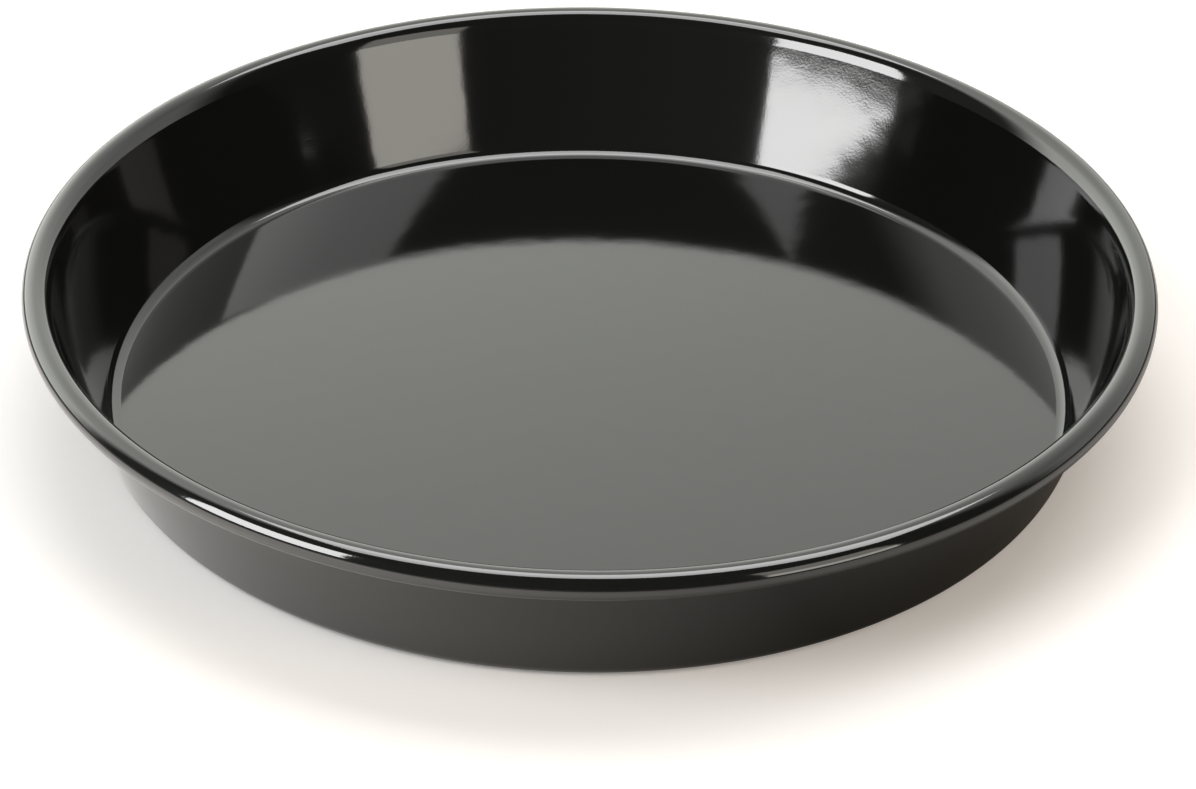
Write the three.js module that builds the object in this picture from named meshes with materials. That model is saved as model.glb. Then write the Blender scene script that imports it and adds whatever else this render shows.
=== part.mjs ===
// Round pizza pan: one deep-drawn steel sheet with a rolled rim, enamelled black on both faces.
// Millimetres, +Z up, the pan stands on the XY plane with its axis on Z and opens upward.
import * as THREE from 'three';

// Overall form, measured over the enamel.
const RIM_DIAMETER = 300;
const PAN_HEIGHT = 42;
const FLOOR_DIAMETER = 254.4;
const CORNER_RADIUS = 4.2;
const BEAD_DIAMETER = 7.2;

// The skins that make up the wall.
const STEEL_THICKNESS = 0.5;
const ENAMEL_THICKNESS = 0.3;
const COAT_CLEARANCE = 0.02;

// Slit left between the lip of the rolled rim and the outside of the wall.
const LIP_CLEARANCE = 0.5;

// Facets around the axis, along the floor corner and along the rolled rim.
const FACETS_AROUND = 72;
const CORNER_STEPS = 5;
const CURL_STEPS = 9;

// Distances from the middle of the sheet to each skin.
const STEEL_FACE = STEEL_THICKNESS / 2;
const COAT_BACK = STEEL_FACE + COAT_CLEARANCE;
const COAT_FACE = COAT_BACK + ENAMEL_THICKNESS;

// Circles that the middle of the sheet follows at the floor corner and in the rolled rim.
const FULL_TURN = Math.PI * 2;
const cornerRadius = CORNER_RADIUS + COAT_FACE;
const cornerCentre = new THREE.Vector2(FLOOR_DIAMETER / 2, COAT_FACE + cornerRadius);
const curlRadius = BEAD_DIAMETER / 2 - COAT_FACE;
const curlCentre = new THREE.Vector2(
  RIM_DIAMETER / 2 - BEAD_DIAMETER / 2,
  PAN_HEIGHT - BEAD_DIAMETER / 2,
);

// The straight wall touches both circles, with the corner on its left and the curl on its right.
const centreLine = curlCentre.clone().sub(cornerCentre);
const wallHeading = centreLine.angle() + Math.asin((cornerRadius + curlRadius) / centreLine.length());

// The rim rolls over until its coated lip stands LIP_CLEARANCE off the coat of the wall.
const lipReach = (curlRadius - COAT_FACE - LIP_CLEARANCE) / (curlRadius + COAT_FACE);
const lipHeading = wallHeading - FULL_TURN + Math.acos(lipReach);
const coverHeading = lipHeading + ENAMEL_THICKNESS / curlRadius;
const steelEndHeading = coverHeading + COAT_CLEARANCE / curlRadius;

// A station is a point on the middle of the sheet with the normal toward the food side.
function station(x, z, normal) {
  return { point: new THREE.Vector2(x, z), normal };
}

function normalOf(heading) {
  return new THREE.Vector2(-Math.sin(heading), Math.cos(heading));
}

function cornerStation(heading) {
  const normal = normalOf(heading);
  const point = cornerCentre.clone().addScaledVector(normal, -cornerRadius);
  return station(point.x, point.y, normal);
}

function curlStation(heading) {
  const normal = normalOf(heading);
  const point = curlCentre.clone().addScaledVector(normal, curlRadius);
  return station(point.x, point.y, normal);
}

// The sheet from the axis along the floor, round the corner, up the wall and round the curl.
function sheetPath() {
  const path = [station(0, COAT_FACE, normalOf(0))];
  for (let step = 0; step <= CORNER_STEPS; step += 1) {
    path.push(cornerStation(wallHeading * step / CORNER_STEPS));
  }
  for (let step = 0; step <= CURL_STEPS; step += 1) {
    path.push(curlStation(THREE.MathUtils.lerp(wallHeading, steelEndHeading, step / CURL_STEPS)));
  }
  return path;
}

function offsetPoint(place, distance) {
  const point = place.point.clone().addScaledVector(place.normal, distance);
  point.x = Math.max(point.x, 0);
  return point;
}

function offsetPath(path, distance) {
  return path.map((place) => offsetPoint(place, distance));
}

// Turns a profile that runs out along the lower face and back along the upper face about Z.
function turned(name, profile, material) {
  const geometry = new THREE.LatheGeometry(profile, FACETS_AROUND);
  geometry.rotateX(Math.PI / 2);
  const mesh = new THREE.Mesh(geometry, material);
  mesh.name = name;
  return mesh;
}

const sheet = sheetPath();
const lip = curlStation(lipHeading);
const cover = curlStation(coverHeading);

const sheetSteel = new THREE.MeshStandardMaterial({ color: 0x8d8f90, roughness: 0.45, metalness: 1 });
const insideEnamel = new THREE.MeshStandardMaterial({ color: 0x0a0a0a, roughness: 0.12, metalness: 0 });
const outsideEnamel = new THREE.MeshStandardMaterial({ color: 0x0c0c0c, roughness: 0.16, metalness: 0 });

// Drawn steel sheet with its rolled rim.
const steelProfile = [
  ...offsetPath(sheet, -STEEL_FACE),
  ...offsetPath(sheet, STEEL_FACE).reverse(),
];

// Food-side coat: floor, wall, over the rim and round the cut edge of the sheet at the lip.
const insideProfile = [
  ...offsetPath(sheet, COAT_BACK),
  ...[COAT_BACK, -STEEL_FACE].map((distance) => offsetPoint(cover, distance)),
  ...[-STEEL_FACE, COAT_FACE].map((distance) => offsetPoint(lip, distance)),
  ...offsetPath(sheet, COAT_FACE).reverse(),
];

// Outer coat: underside, wall and the hollow of the rim, out to the same lip.
const outsideProfile = [
  ...offsetPath([...sheet, lip], -COAT_FACE),
  ...offsetPath([...sheet, lip], -COAT_BACK).reverse(),
];

const pan = new THREE.Group();
pan.name = 'pizza_pan';
pan.add(turned('steel_shell', steelProfile, sheetSteel));
pan.add(turned('enamel_inside', insideProfile, insideEnamel));
pan.add(turned('enamel_outside', outsideProfile, outsideEnamel));

export default pan;
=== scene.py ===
"""Looks of a round black enamelled pizza pan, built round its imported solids.

Lengths are metres, +Z is up, the pan stands on z = 0 and the photograph looks at it from -Y.
"""

import math

import bpy
import numpy as np
from mathutils import Matrix, Vector


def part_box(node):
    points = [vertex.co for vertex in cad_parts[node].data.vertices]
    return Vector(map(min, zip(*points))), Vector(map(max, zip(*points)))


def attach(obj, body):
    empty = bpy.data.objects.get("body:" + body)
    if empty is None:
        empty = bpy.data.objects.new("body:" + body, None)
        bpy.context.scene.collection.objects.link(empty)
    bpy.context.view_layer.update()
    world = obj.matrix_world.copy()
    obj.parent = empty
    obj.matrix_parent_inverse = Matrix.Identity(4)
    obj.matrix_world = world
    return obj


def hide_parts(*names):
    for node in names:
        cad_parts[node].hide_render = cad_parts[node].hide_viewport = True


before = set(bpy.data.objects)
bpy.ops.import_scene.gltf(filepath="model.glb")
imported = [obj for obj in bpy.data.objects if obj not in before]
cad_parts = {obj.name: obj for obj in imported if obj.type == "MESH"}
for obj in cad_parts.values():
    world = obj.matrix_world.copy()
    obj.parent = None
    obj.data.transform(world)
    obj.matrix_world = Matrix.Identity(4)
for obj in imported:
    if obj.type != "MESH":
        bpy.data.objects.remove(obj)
# The food-side coat goes over the rim, so its box gives the width and the height of the pan. The facets of
# the solid fall short of them by less than 0.02 mm, so the box is rounded to tenths of a millimetre.
BOX_DIGITS = 4
COAT_LOW, COAT_HIGH = np.round(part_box("enamel_inside"), BOX_DIGITS).tolist()

bl_info = {
    "name": "Pizza pan",
    "version": (1, 0, 0),
    "blender": (4, 5, 0),
    "location": "View3D > Sidebar > Pizza pan",
    "description": "Builds the enamel coats of a round pizza pan and the stage that it stands on",
    "category": "Object",
}

FULL_TURN = 2 * math.pi
# Shares of steps that the curl of the rim takes, about one for each quarter turn.
CURL_QUARTERS = 3
# Power per area of a rectangular lamp whose face has a radiance of 1.
WATTS_PER_RADIANCE = 4.0
ENAMEL_BLACK = "111211"
STEEL_GREY = "8d8f90"
TABLE_WHITE = "f8f8f8"
PURE_WHITE = "ffffff"
SWEEP_WHITE = "fdfff8"
WARM_FILL = "fff4e6"
WARM_PANEL = "ffe2c0"
CREAM_PANEL = "fffaf0"
# Point that the lamps for matt surfaces aim at, then the place and size of the panel overhead.
PAN_MIDDLE = (0.0, 0.0, 0.02)
OVERHEAD_X = 0.14
OVERHEAD_Y = 0.24
OVERHEAD_WIDTH = 1.72
OVERHEAD_DEPTH = 0.92
# Place and width of the panel on the right, whose lower part is the brighter one.
RIGHT_X = 0.878
RIGHT_Y = -0.958
RIGHT_WIDTH = 0.553
# The panels of the studio. Those that are mirrored show in the enamel alone, and the others only light
# matt surfaces.
LAMPS = (
    {
        "name": "back_light",
        "eye": (OVERHEAD_X, 0.38, 1.6),
        "target": PAN_MIDDLE,
        "width": OVERHEAD_WIDTH,
        "depth": OVERHEAD_DEPTH,
        "radiance": 2.4,
        "mirrored": False,
    },
    {
        "name": "left_light",
        "eye": (-0.85, -0.75, 1.2),
        "target": PAN_MIDDLE,
        "width": 0.8,
        "depth": 0.9,
        "radiance": 4.2,
        "mirrored": False,
    },
    {
        "name": "right_light",
        "eye": (0.95, -0.7, 0.7),
        "target": PAN_MIDDLE,
        "width": 0.6,
        "depth": 0.6,
        "radiance": 2.6,
        "mirrored": False,
        "hue": WARM_PANEL,
    },
    {
        "name": "overhead_mirrored",
        "eye": (OVERHEAD_X, OVERHEAD_Y, 1.5),
        "target": (OVERHEAD_X, OVERHEAD_Y, 0.0),
        "width": OVERHEAD_WIDTH,
        "depth": OVERHEAD_DEPTH,
        "radiance": 3.7,
        "mirrored": True,
    },
    {
        "name": "left_mirrored",
        "eye": (-1.006, -0.6, 0.525),
        "target": (0.0, 0.0, 0.525),
        "width": 0.66,
        "depth": 0.77,
        "radiance": 7.6,
        "mirrored": True,
        "roll": 0.12,
    },
    {
        "name": "right_low_mirrored",
        "eye": (RIGHT_X, RIGHT_Y, 0.16),
        "target": (0.0, 0.0, 0.16),
        "width": RIGHT_WIDTH,
        "depth": 0.28,
        "radiance": 2.8,
        "mirrored": True,
        "hue": CREAM_PANEL,
    },
    {
        "name": "right_high_mirrored",
        "eye": (RIGHT_X, RIGHT_Y, 0.62),
        "target": (0.0, 0.0, 0.62),
        "width": RIGHT_WIDTH,
        "depth": 0.64,
        "radiance": 1.2,
        "mirrored": True,
        "hue": CREAM_PANEL,
    },
)


def colour(code):
    """Returns the linear colour of an sRGB hex code such as 1a2b3c."""
    parts = np.array([int(code[i:i + 2], 16) for i in (0, 2, 4)]) / 255
    linear = np.where(parts <= 0.04045, parts / 12.92, ((parts + 0.055) / 1.055) ** 2.4)
    return (*linear.tolist(), 1.0)


def tint(name, description, code):
    """Returns a colour property whose default is an sRGB hex code."""
    return bpy.props.FloatVectorProperty(
        name=name, description=description, default=colour(code), size=4, min=0.0, max=1.0, subtype="COLOR"
    )


def length(name, description, default):
    """Returns a length property in metres."""
    return bpy.props.FloatProperty(
        name=name,
        description=description,
        default=default,
        min=0.0,
        unit="LENGTH",
        subtype="DISTANCE",
        precision=5,
    )


def angle(name, description, degrees):
    """Returns an angle property whose default is given in degrees."""
    return bpy.props.FloatProperty(
        name=name, description=description, default=math.radians(degrees), unit="ROTATION", subtype="ANGLE"
    )


def count(name, description, default):
    """Returns a whole-number property for a number of steps."""
    return bpy.props.IntProperty(name=name, description=description, default=default, min=2)


class PanSettings(bpy.types.PropertyGroup):
    """Sizes of the pan, measured over the enamel where they show, and its colours."""

    rim_diameter: length("Rim diameter", "Across the outside of the rolled rim", COAT_HIGH[0] - COAT_LOW[0])
    height: length("Height", "Table to the top of the rim", COAT_HIGH[2])
    floor_diameter: length("Floor diameter", "Flat part of the floor", 0.2544)
    corner_radius: length("Corner radius", "Inside corner between floor and wall", 0.0042)
    bead_diameter: length("Bead diameter", "Thickness of the rolled rim", 0.0072)
    steel: length("Steel", "Thickness of the drawn sheet", 0.0005)
    enamel: length("Enamel", "Thickness of each coat", 0.0003)
    coat_clearance: length("Coat clearance", "Gap between sheet and coat", 0.00002)
    lip_clearance: length("Lip clearance", "Slit between the lip of the rim and the wall", 0.0005)
    wall_bow: length("Wall bow", "How far the middle of the wall's food side bulges outward", 0.0003)
    corner_fill: length("Corner fill", "Extra enamel that runs into the inside corner", 0.0005)
    rim_ease: length("Rim ease", "Radius of the food side where the wall turns into the rim", 0.009)
    ease_end: angle("Ease end", "Slope of the food side where the rim's own radius begins", 53.0)
    segments: count("Segments", "Steps around the axis", 360)
    fine_steps: count("Fine steps", "Steps along each quarter of the shown face", 24)
    coarse_steps: count("Coarse steps", "Steps along each quarter of the hidden face", 6)
    enamel_colour: tint("Enamel colour", "Black of the glass under its reflections", ENAMEL_BLACK)
    steel_colour: tint("Steel colour", "Grey of the bare sheet", STEEL_GREY)


class StageSettings(bpy.types.PropertyGroup):
    """Camera of the photograph, and the table that the pan stands on."""

    camera_distance: length("Camera distance", "Lens to the middle of the base", 0.8735)
    camera_elevation: angle("Camera elevation", "Slope of the line from the base to the lens", 32.5)
    camera_roll: angle("Camera roll", "Turn of the camera about its own axis", 0.75)
    aim_right: bpy.props.FloatProperty(
        name="Aim right", description="Point aimed at, right of the axis", default=0.002489, unit="LENGTH"
    )
    aim_up: bpy.props.FloatProperty(
        name="Aim up", description="Point aimed at, above the table", default=-0.003774, unit="LENGTH"
    )
    lens: bpy.props.FloatProperty(
        name="Lens", description="Focal length in millimetres", default=96.23, unit="CAMERA"
    )
    sensor: bpy.props.FloatProperty(
        name="Sensor", description="Sensor width in millimetres", default=36.0, unit="CAMERA"
    )
    table_side: length("Table side", "Side of the white table", 3.0)
    table_gap: length("Table gap", "Gap that keeps the table's face clear of the base", 0.0001)
    table_colour: tint("Table colour", "White of the table where the enamel doesn't mirror it", TABLE_WHITE)


def tangent_heading(low, low_radius, high, high_radius):
    """Returns the heading of the line that touches the low circle from below and the high one from above.

    It is the heading from centre to centre, plus the angle whose sine is both radii over their distance.
    """
    apart = high - low
    return math.atan2(apart[1], apart[0]) + math.asin((low_radius + high_radius) / math.hypot(*apart))


def sheet_path(pan, steps, shaped):
    """Returns points, food-side normals, the rim's point function, cover and lip of the middle of the sheet.

    The sheet runs from the axis along the floor, round a circle at the corner, up a wall that touches the
    corner circle and the rim circle, and round the rim circle to its cut edge. Cover and lip are the headings
    of the two faces of the enamel over that edge. Each normal is the heading turned a quarter to the left.

    A shaped path is that of the food side's face: its corner lies further in by the corner fill, its wall
    bulges outward by the bow times 4 u (1 - u) at the part u of its length, and it turns into the rim by a
    wider circle that touches the rim circle inside.
    """
    skin = pan.steel / 2 + pan.coat_clearance + pan.enamel
    corner_radius = pan.corner_radius + skin
    corner_centre = np.array((pan.floor_diameter / 2, skin + corner_radius))
    curl_radius = pan.bead_diameter / 2 - skin
    curl_centre = np.array(
        (pan.rim_diameter / 2 - pan.bead_diameter / 2, pan.height - pan.bead_diameter / 2)
    )
    reach = (curl_radius - skin - pan.lip_clearance) / (curl_radius + skin)
    plain_wall = tangent_heading(corner_centre, corner_radius, curl_centre, curl_radius)
    lip = plain_wall - FULL_TURN + math.acos(reach)
    cover = lip + pan.enamel / curl_radius
    end = cover + pan.coat_clearance / curl_radius

    bow, ease_radius = 0.0, curl_radius
    if shaped:
        bow, ease_radius = pan.wall_bow, pan.rim_ease - skin
        corner_centre = corner_centre - np.array((pan.corner_fill, 0.0))
    ease_centre = curl_centre - (ease_radius - curl_radius) * left_of(np.array((pan.ease_end,)))[0]
    wall = tangent_heading(corner_centre, corner_radius, ease_centre, ease_radius)
    # Slope of the bulge at both ends of the wall, worked out with the wall's rough length.
    tilt = 4 * bow / (pan.height - pan.corner_radius)

    # Rings crowd together at the floor's edge, and at both ends of the wall.
    even = np.linspace(0, 1, steps)
    outward = 1 - (1 - even) ** 3
    along = (even * even * (3 - 2 * even))[1:-1]
    corner_heads = np.linspace(0, wall - tilt, steps)
    wall_heads = wall - tilt * (1 - 2 * along)
    ease_heads = np.linspace(wall + tilt, pan.ease_end, steps)
    curl_heads = np.linspace(pan.ease_end, end, CURL_QUARTERS * steps)

    floor = np.column_stack((outward * corner_centre[0], np.full(steps, skin)))
    corner = corner_centre - corner_radius * left_of(corner_heads)
    ease = ease_centre + ease_radius * left_of(ease_heads)
    curl = curl_centre + curl_radius * left_of(curl_heads)
    bulge = 4 * bow * along * (1 - along)
    rise = corner[-1] + along[:, None] * (ease[0] - corner[-1]) - bulge[:, None] * left_of(np.array((wall,)))
    points = np.vstack((floor[:-1], corner, rise, ease[:-1], curl))
    heads = np.concatenate((np.zeros(steps - 1), corner_heads, wall_heads, ease_heads[:-1], curl_heads))

    def curl_point(heading, offset):
        """Returns a point of the rim at a heading and a distance from the middle of the sheet."""
        return curl_centre + (curl_radius + offset)[:, None] * left_of(heading)

    return points, left_of(heads), curl_point, cover, lip


def left_of(heads):
    """Returns unit vectors a quarter turn to the left of the headings."""
    return np.column_stack((-np.sin(heads), np.cos(heads)))


def revolve(name, profile, segments):
    """Returns a closed mesh object: the profile, which starts and ends on the axis, turned about Z.

    Vertex (i, j) is profile point i at radius r and height z, placed at (r cos a, r sin a, z) with a = j full
    turns / segments. The two ends of the profile are single vertices on the axis, each with a fan of
    triangles.
    """
    turn = np.arange(segments) * FULL_TURN / segments
    rings = profile[1:-1]
    grid = np.stack(
        (
            rings[:, :1] * np.cos(turn),
            rings[:, :1] * np.sin(turn),
            np.repeat(rings[:, 1:], segments, axis=1),
        ),
        axis=-1,
    ).reshape(-1, 3)
    poles = np.array(((0, 0, profile[0, 1]), (0, 0, profile[-1, 1])))
    here = np.arange(segments)
    there = np.roll(here, -1)
    base = np.arange(len(rings) - 1)[:, None] * segments
    quads = np.stack(
        (base + here, base + there, base + segments + there, base + segments + here), axis=-1
    ).reshape(-1, 4)
    first, last = len(grid), len(grid) + 1
    top = (len(rings) - 1) * segments
    start_fan = np.column_stack((np.full(segments, first), there, here))
    end_fan = np.column_stack((top + here, top + there, np.full(segments, last)))
    mesh = bpy.data.meshes.new(name)
    mesh.from_pydata(
        np.vstack((grid, poles)).tolist(), [], quads.tolist() + start_fan.tolist() + end_fan.tolist()
    )
    mesh.polygons.foreach_set("use_smooth", np.ones(len(mesh.polygons), dtype=bool))
    piece = bpy.data.objects.new(name, mesh)
    bpy.context.scene.collection.objects.link(piece)
    return piece


def coat_profile(pan, inside):
    """Returns the closed profile of one coat, out along its lower face and back along its upper face.

    The coat is the sheet's path moved along its normals. The food-side coat also goes round the cut edge of
    the sheet at the lip with a half ellipse, and the outer coat stops flush with it.
    """
    steel_face = pan.steel / 2
    back = steel_face + pan.coat_clearance
    face = back + pan.enamel
    coarse, coarse_normals, curl_point, cover, lip = sheet_path(pan, pan.coarse_steps, False)
    if inside:
        fine, fine_normals, _, _, _ = sheet_path(pan, pan.fine_steps, True)
        sweep = np.linspace(-math.pi / 2, math.pi / 2, pan.fine_steps)
        middle, half = (face - steel_face) / 2, (face + steel_face) / 2
        edge = curl_point(cover + (lip - cover) * np.cos(sweep), middle + half * np.sin(sweep))
        corner = curl_point(np.array((cover,)), np.array((back,)))
        return np.vstack((coarse + back * coarse_normals, corner, edge, (fine + face * fine_normals)[::-1]))
    fine, fine_normals, _, _, _ = sheet_path(pan, pan.fine_steps, False)
    end = curl_point(np.array((lip, lip)), np.array((-face, -back)))
    return np.vstack((fine - face * fine_normals, end, (coarse - back * coarse_normals)[::-1]))


def add(tree, kind, inputs=None, **values):
    """Adds a node, sets its attributes or sockets by name, and links or sets its inputs by name or number."""
    node = tree.nodes.new(kind)
    for key, value in values.items():
        if hasattr(node, key):
            setattr(node, key, value)
        else:
            node.inputs[key.replace("_", " ")].default_value = value
    for key, source in (inputs or {}).items():
        if isinstance(source, bpy.types.NodeSocket):
            tree.links.new(source, node.inputs[key])
        else:
            node.inputs[key].default_value = source
    return node


def span(start, end, first, last):
    """Returns the settings of a node that maps the range from start to end to the one from first to last."""
    return {"From_Min": start, "From_Max": end, "To_Min": first, "To_Max": last}


def new_material(name):
    """Returns an empty node material and its tree."""
    material = bpy.data.materials.new(name)
    material.use_nodes = True
    material.node_tree.nodes.clear()
    return material, material.node_tree


def enamel_material(name, base, roughness, ripple_height, wave_height):
    """Black vitreous enamel, fired on: sharp mirror images over deep black, bent by ripple and waves."""
    # Enamel glass is nearer 1.5. More is used here, to match the light that is mirrored twice in the pan.
    index = 1.75
    ripple_size = 0.0007
    wave_size = 0.009
    material, tree = new_material(name)
    place = add(tree, "ShaderNodeTexCoord").outputs["Object"]
    ripple = add(tree, "ShaderNodeTexNoise", {"Vector": place}, Scale=1 / ripple_size, Detail=2.0)
    wave = add(tree, "ShaderNodeTexNoise", {"Vector": place}, Scale=1 / wave_size, Detail=1.0)
    broad = add(tree, "ShaderNodeBump", {"Height": wave.outputs["Fac"]}, Strength=1.0, Distance=wave_height)
    bump = add(
        tree,
        "ShaderNodeBump",
        {"Height": ripple.outputs["Fac"], "Normal": broad.outputs["Normal"]},
        Strength=1.0,
        Distance=ripple_height,
    )
    shader = add(
        tree,
        "ShaderNodeBsdfPrincipled",
        {"Normal": bump.outputs["Normal"]},
        Base_Color=base,
        Roughness=roughness,
        IOR=index,
    )
    add(tree, "ShaderNodeOutputMaterial", {"Surface": shader.outputs["BSDF"]})
    return material


def steel_material(base):
    """Bare low-carbon drawing steel, closed in by the enamel, with the faint cloudiness of pickled sheet."""
    cloud_size = 0.012
    smooth, cloudy = 0.35, 0.5
    material, tree = new_material("drawing_steel")
    place = add(tree, "ShaderNodeTexCoord").outputs["Object"]
    cloud = add(tree, "ShaderNodeTexNoise", {"Vector": place}, Scale=1 / cloud_size, Detail=3.0)
    rough = add(tree, "ShaderNodeMapRange", {"Value": cloud.outputs["Fac"]}, To_Min=smooth, To_Max=cloudy)
    shader = add(
        tree,
        "ShaderNodeBsdfPrincipled",
        {"Roughness": rough.outputs["Result"]},
        Base_Color=base,
        Metallic=1.0,
    )
    add(tree, "ShaderNodeOutputMaterial", {"Surface": shader.outputs["BSDF"]})
    return material


def table_material(base):
    """White matt table: for the camera it fades to white far from the pan, and from below it is clear.

    Where the enamel mirrors it, it darkens from 0.24 m to 0.36 m aside or ahead of the axis. There its colour
    also holds painted light and shade: it is painted lighter on the left, at the foot of the pan its right
    half has painted shade, and it gives back twice the light that falls on it, which is painted light too.
    Near the pan the camera sees a faint painted glow in it that lightens the shadow.
    """
    # Tone of the mirrored table, darkening from 0.24 m to 0.36 m by the distance aside or ahead.
    mirrored_tone_levels = span(0.24, 0.36, 0.4, 0.06)
    # Painted light and shade on the mirrored table from left to right, at the foot of the pan and out in the
    # open: lighter on the left, painted shade on the right half at the foot.
    painted_foot_shade_levels = span(-0.14, 0.06, 2.0, 0.3)
    painted_open_light_levels = span(-0.14, 0.06, 1.8, 0.85)
    foot_radius, open_radius = 0.15, 0.19
    # Glow that the camera sees in the table, from near the pan to far away: near the pan it is painted light
    # that lightens the shadow, far away it is plain white.
    lift_levels = span(0.35, 0.9, 0.17, 1.0)

    material, tree = new_material("white_table")
    spot = add(tree, "ShaderNodeTexCoord").outputs["Object"]
    place = add(tree, "ShaderNodeSeparateXYZ", {"Vector": spot}).outputs
    away = add(tree, "ShaderNodeVectorMath", {0: spot}, operation="LENGTH").outputs["Value"]
    aside = add(tree, "ShaderNodeMath", {0: place["X"]}, operation="ABSOLUTE").outputs[0]
    ahead = add(tree, "ShaderNodeMath", {0: place["Y"], 1: -1.0}, operation="MULTIPLY").outputs[0]
    reach = add(tree, "ShaderNodeMath", {0: aside, 1: ahead}, operation="MAXIMUM").outputs[0]
    # The mirrored table darkens aside and ahead of the pan.
    mirrored_tone = add(
        tree, "ShaderNodeMapRange", {"Value": reach}, interpolation_type="SMOOTHSTEP", **mirrored_tone_levels
    ).outputs["Result"]
    # Painted light and shade across the mirrored table, near the foot of the pan and out in the open.
    foot = add(tree, "ShaderNodeMapRange", {"Value": place["X"]}, **painted_foot_shade_levels).outputs["Result"]
    painted_open_light = add(tree, "ShaderNodeMapRange", {"Value": place["X"]}, **painted_open_light_levels).outputs["Result"]
    side = add(
        tree,
        "ShaderNodeMapRange",
        {"Value": away, "To Min": foot, "To Max": painted_open_light},
        From_Min=foot_radius,
        From_Max=open_radius,
    ).outputs["Result"]
    # The mirrored table's tone times its painted light and shade.
    shade = add(tree, "ShaderNodeMath", {0: mirrored_tone, 1: side}, operation="MULTIPLY").outputs[0]
    lit = add(tree, "ShaderNodeBsdfDiffuse", {"Color": shade}).outputs[0]
    # Painted light: for mirror rays the table gives back twice the light that falls on it.
    painted_double_light = add(tree, "ShaderNodeAddShader", {0: lit, 1: lit}).outputs[0]
    plain = add(tree, "ShaderNodeBsdfDiffuse", Color=base).outputs[0]
    rays = add(tree, "ShaderNodeLightPath").outputs
    mirror_rays = {0: rays["Is Glossy Ray"], 1: rays["Is Transmission Ray"]}
    mirrored = add(tree, "ShaderNodeMath", mirror_rays, operation="MAXIMUM").outputs[0]
    mixed = add(tree, "ShaderNodeMixShader", {0: mirrored, 1: plain, 2: painted_double_light}).outputs[0]
    fade = add(
        tree, "ShaderNodeMapRange", {"Value": away}, interpolation_type="SMOOTHSTEP", **lift_levels
    ).outputs["Result"]
    # Painted glow for the camera, faint near the pan where it lightens the shadow, white far away.
    lift = add(tree, "ShaderNodeMath", {0: rays["Is Camera Ray"], 1: fade}, operation="MULTIPLY").outputs[0]
    glow = add(tree, "ShaderNodeEmission", {"Strength": lift}, Color=colour(PURE_WHITE)).outputs[0]
    front = add(tree, "ShaderNodeAddShader", {0: mixed, 1: glow}).outputs[0]
    clear = add(tree, "ShaderNodeBsdfTransparent").outputs[0]
    below = add(tree, "ShaderNodeNewGeometry").outputs["Backfacing"]
    shown = add(tree, "ShaderNodeMixShader", {0: below, 1: front, 2: clear}).outputs[0]
    add(tree, "ShaderNodeOutputMaterial", {"Surface": shown})
    return material


class PIZZAPAN_OT_inside_coat(bpy.types.Operator):
    """Build the food-side enamel: floor, wall, over the rim and round the lip"""

    bl_idname = "pizzapan.inside_coat"
    bl_label = "Inside enamel"

    def execute(self, context):
        pan = context.scene.pizza_pan
        piece = revolve("enamel_food_side", coat_profile(pan, True), pan.segments)
        enamel = enamel_material(
            "black_enamel_inside",
            pan.enamel_colour,
            roughness=0.065,
            ripple_height=0.000004,
            wave_height=0.00002,
        )
        piece.data.materials.append(enamel)
        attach(piece, "root")
        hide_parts("enamel_inside")
        return {"FINISHED"}


class PIZZAPAN_OT_outside_coat(bpy.types.Operator):
    """Build the outer enamel: underside, wall and the hollow of the rolled rim"""

    bl_idname = "pizzapan.outside_coat"
    bl_label = "Outside enamel"

    def execute(self, context):
        pan = context.scene.pizza_pan
        piece = revolve("enamel_outer_side", coat_profile(pan, False), pan.segments)
        enamel = enamel_material(
            "black_enamel_outside",
            pan.enamel_colour,
            roughness=0.06,
            ripple_height=0.000002,
            wave_height=0.000002,
        )
        piece.data.materials.append(enamel)
        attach(piece, "root")
        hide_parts("enamel_outside")
        return {"FINISHED"}


class PIZZAPAN_OT_steel(bpy.types.Operator):
    """Give the drawn steel sheet its bare metal"""

    bl_idname = "pizzapan.steel"
    bl_label = "Steel sheet"

    def execute(self, context):
        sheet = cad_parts["steel_shell"]
        sheet.data.materials.clear()
        sheet.data.materials.append(steel_material(context.scene.pizza_pan.steel_colour))
        return {"FINISHED"}


def aim(piece, eye, target, roll=0.0):
    """Places a camera or lamp at a point, looking at another, turned about its own axis."""
    turn = (Vector(target) - Vector(eye)).to_track_quat("-Z", "Y").to_matrix().to_4x4()
    piece.matrix_world = Matrix.Translation(eye) @ turn @ Matrix.Rotation(roll, 4, "Z")


def add_panel(name, eye, target, width, depth, radiance, mirrored, roll=0.0, hue=PURE_WHITE):
    """Adds a rectangular lamp of a radiance, either only seen in mirrors or only lighting matt surfaces."""
    lamp = bpy.data.lights.new(name, "AREA")
    lamp.shape = "RECTANGLE"
    lamp.color = colour(hue)[:3]
    lamp.size = width
    lamp.size_y = depth
    lamp.energy = WATTS_PER_RADIANCE * radiance * width * depth
    panel = bpy.data.objects.new(name, lamp)
    bpy.context.scene.collection.objects.link(panel)
    aim(panel, eye, target, roll)
    panel.visible_camera = False
    panel.visible_diffuse = not mirrored
    panel.visible_glossy = mirrored


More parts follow.
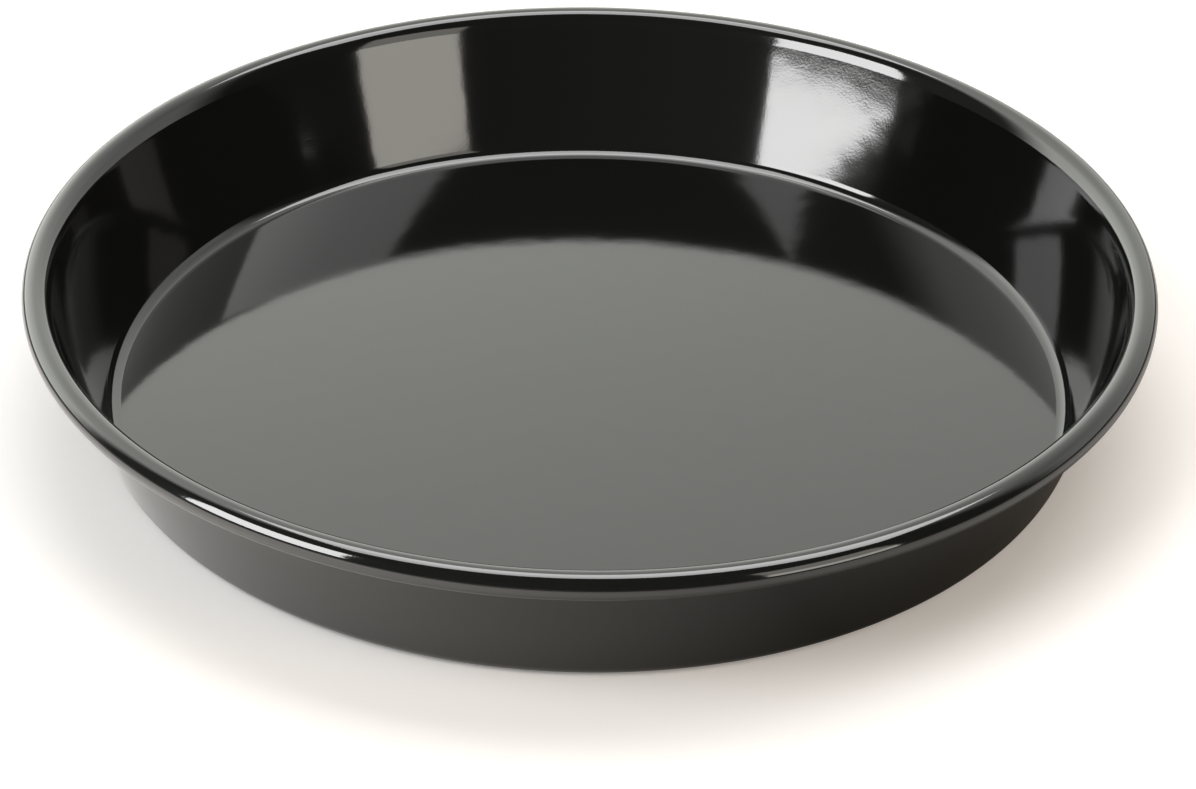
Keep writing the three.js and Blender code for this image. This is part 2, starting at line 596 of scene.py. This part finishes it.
def studio_world():
    """Fills the studio: warm faint fill for matt surfaces, and a pale sweep behind a dark room for mirrors.

    The sweep's strength is its rise from front to back, times its fall from left to right, times its fall
    with height, by the parts of a unit vector. The camera sees plain white.
    """
    slant = 0.12
    back_levels = span(0.02, 0.32, 0.035, 1.0)
    side_levels = span(-0.8, 0.8, 1.9, 0.55)
    height_levels = span(0.45, 0.6, 1.55, 1.2)
    fill_strength = 0.4

    world = bpy.data.worlds.new("studio")
    bpy.context.scene.world = world
    world.use_nodes = True
    tree = world.node_tree
    tree.nodes.clear()
    toward = add(tree, "ShaderNodeTexCoord").outputs["Generated"]
    parts = add(tree, "ShaderNodeSeparateXYZ", {"Vector": toward}).outputs
    lean = add(tree, "ShaderNodeMath", {0: parts["X"], 1: slant}, operation="MULTIPLY").outputs[0]
    behind = add(tree, "ShaderNodeMath", {0: parts["Y"], 1: lean}, operation="ADD").outputs[0]
    back = add(
        tree, "ShaderNodeMapRange", {"Value": behind}, interpolation_type="SMOOTHSTEP", **back_levels
    ).outputs["Result"]
    side = add(tree, "ShaderNodeMapRange", {"Value": parts["X"]}, **side_levels).outputs["Result"]
    height = add(tree, "ShaderNodeMapRange", {"Value": parts["Z"]}, **height_levels).outputs["Result"]
    spread = add(tree, "ShaderNodeMath", {0: side, 1: height}, operation="MULTIPLY").outputs[0]
    level = add(tree, "ShaderNodeMath", {0: back, 1: spread}, operation="MULTIPLY").outputs[0]
    sweep = add(tree, "ShaderNodeBackground", {"Strength": level}, Color=colour(SWEEP_WHITE)).outputs[0]
    fill = add(tree, "ShaderNodeBackground", Color=colour(WARM_FILL), Strength=fill_strength).outputs[0]
    white = add(tree, "ShaderNodeBackground", Color=colour(PURE_WHITE), Strength=1.0).outputs[0]
    rays = add(tree, "ShaderNodeLightPath").outputs
    mirror_rays = {0: rays["Is Glossy Ray"], 1: rays["Is Transmission Ray"]}
    mirrored = add(tree, "ShaderNodeMath", mirror_rays, operation="MAXIMUM").outputs[0]
    mixed = add(tree, "ShaderNodeMixShader", {0: mirrored, 1: fill, 2: sweep}).outputs[0]
    shown = add(tree, "ShaderNodeMixShader", {0: rays["Is Camera Ray"], 1: mixed, 2: white}).outputs[0]
    add(tree, "ShaderNodeOutputWorld", {"Surface": shown})


class PIZZAPAN_OT_stage(bpy.types.Operator):
    """Set up the white table, the lamps, the studio and the camera of the photograph"""

    bl_idname = "pizzapan.stage"
    bl_label = "Stage"

    def execute(self, context):
        stage = context.scene.pizza_stage
        half = stage.table_side / 2
        mesh = bpy.data.meshes.new("table")
        top = -stage.table_gap
        corners = [(-half, -half, top), (half, -half, top), (half, half, top), (-half, half, top)]
        mesh.from_pydata(corners, [], [(0, 1, 2, 3)])
        table = bpy.data.objects.new("table", mesh)
        context.scene.collection.objects.link(table)
        mesh.materials.append(table_material(stage.table_colour))

        for lamp in LAMPS:
            add_panel(**lamp)
        studio_world()

        data = bpy.data.cameras.new("photo_camera")
        data.lens = stage.lens
        data.sensor_width = stage.sensor
        data.sensor_fit = "HORIZONTAL"
        camera = bpy.data.objects.new("photo_camera", data)
        context.scene.collection.objects.link(camera)
        toward = Vector((0.0, -math.cos(stage.camera_elevation), math.sin(stage.camera_elevation)))
        aim(camera, stage.camera_distance * toward, (stage.aim_right, 0.0, stage.aim_up), stage.camera_roll)
        context.scene.camera = camera
        context.scene.view_settings.view_transform = "Standard"
        return {"FINISHED"}


class PIZZAPAN_PT_sidebar(bpy.types.Panel):
    """Sidebar with the pan's sizes and its steps"""

    bl_label = "Pizza pan"
    bl_idname = "PIZZAPAN_PT_sidebar"
    bl_space_type = "VIEW_3D"
    bl_region_type = "UI"
    bl_category = "Pizza pan"

    def draw(self, context):
        for group in (context.scene.pizza_pan, context.scene.pizza_stage):
            for key in group.__annotations__:
                self.layout.prop(group, key)
        for operator in OPERATORS:
            self.layout.operator(operator.bl_idname)


OPERATORS = (PIZZAPAN_OT_inside_coat, PIZZAPAN_OT_outside_coat, PIZZAPAN_OT_steel, PIZZAPAN_OT_stage)
CLASSES = (PanSettings, StageSettings, *OPERATORS, PIZZAPAN_PT_sidebar)


def register():
    for item in CLASSES:
        bpy.utils.register_class(item)
    bpy.types.Scene.pizza_pan = bpy.props.PointerProperty(type=PanSettings)
    bpy.types.Scene.pizza_stage = bpy.props.PointerProperty(type=StageSettings)


def unregister():
    del bpy.types.Scene.pizza_stage
    del bpy.types.Scene.pizza_pan
    for item in reversed(CLASSES):
        bpy.utils.unregister_class(item)


def main():
    """Builds the scene."""
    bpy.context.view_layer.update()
    register()
    bpy.ops.pizzapan.inside_coat()
    bpy.ops.pizzapan.outside_coat()
    bpy.ops.pizzapan.steel()
    bpy.ops.pizzapan.stage()


if __name__ == "__main__":
    main()
